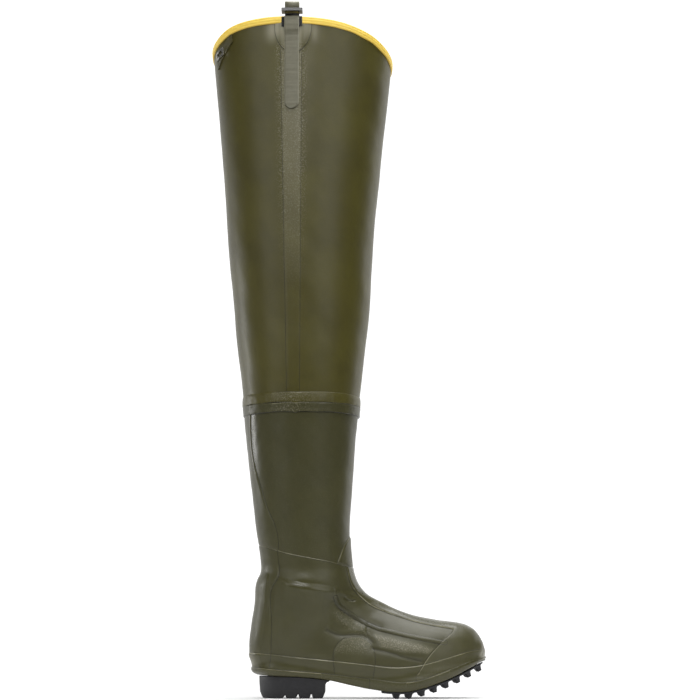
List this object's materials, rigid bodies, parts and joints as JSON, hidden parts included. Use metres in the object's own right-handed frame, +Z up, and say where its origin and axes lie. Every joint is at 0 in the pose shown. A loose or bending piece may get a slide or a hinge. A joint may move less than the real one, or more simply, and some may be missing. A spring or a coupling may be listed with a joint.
{
  "type": "hip wader",
  "caption": "Thigh-high rubber hip boot with a cleated forefoot sole, block heel, rubber layers on the foot, knee bands, bound collar, side strap and belt loop.",
  "frame": {"origin": "middle of the heel block's flat underside, on the floor", "axes": "+X towards the toe, +Y towards the inner side of the leg, +Z up the leg"},
  "size_m": [0.3576, 0.1767, 0.8935],
  "materials": {
    "olive_rubber": "satin olive rubber",
    "strap_rubber": "matt grey-olive rubberised strap",
    "yellow_binding": "yellow coated binding",
    "black_rubber": "matt black rubber",
    "black_webbing": "woven black webbing",
    "black_plastic": "moulded black plastic",
    "insole_felt": "felt insole",
    "nickel_plate": "nickel-plated steel"
  },
  "bodies": {
    "root": {"upper": "olive_rubber", "thigh_shaft": "olive_rubber", "insole": "insole_felt", "midsole": "olive_rubber", "outsole": "black_rubber", "heel": "black_rubber", "foxing": "olive_rubber", "toe_cap": "olive_rubber", "front_stay": "olive_rubber", "vamp_rib_outer": "olive_rubber", "vamp_rib_inner": "olive_rubber", "side_patch_outer": "olive_rubber", "side_patch_inner": "olive_rubber", "heel_counter": "olive_rubber", "heel_strip": "olive_rubber", "ankle_cuff_outer": "olive_rubber", "ankle_cuff_inner": "olive_rubber", "front_gusset": "olive_rubber", "back_strip": "olive_rubber", "knee_band_lower": "olive_rubber", "knee_band_upper": "olive_rubber", "side_seam_tape": "olive_rubber", "collar_trim": "yellow_binding", "strap_patch": "olive_rubber", "strap_guard": "black_webbing", "strap": "strap_rubber", "loop_web": "black_webbing", "belt_loop": "strap_rubber", "slider": "black_plastic", "rear_strap": "strap_rubber", "rear_buckle": "nickel_plate"}
  },
  "joints": []
}
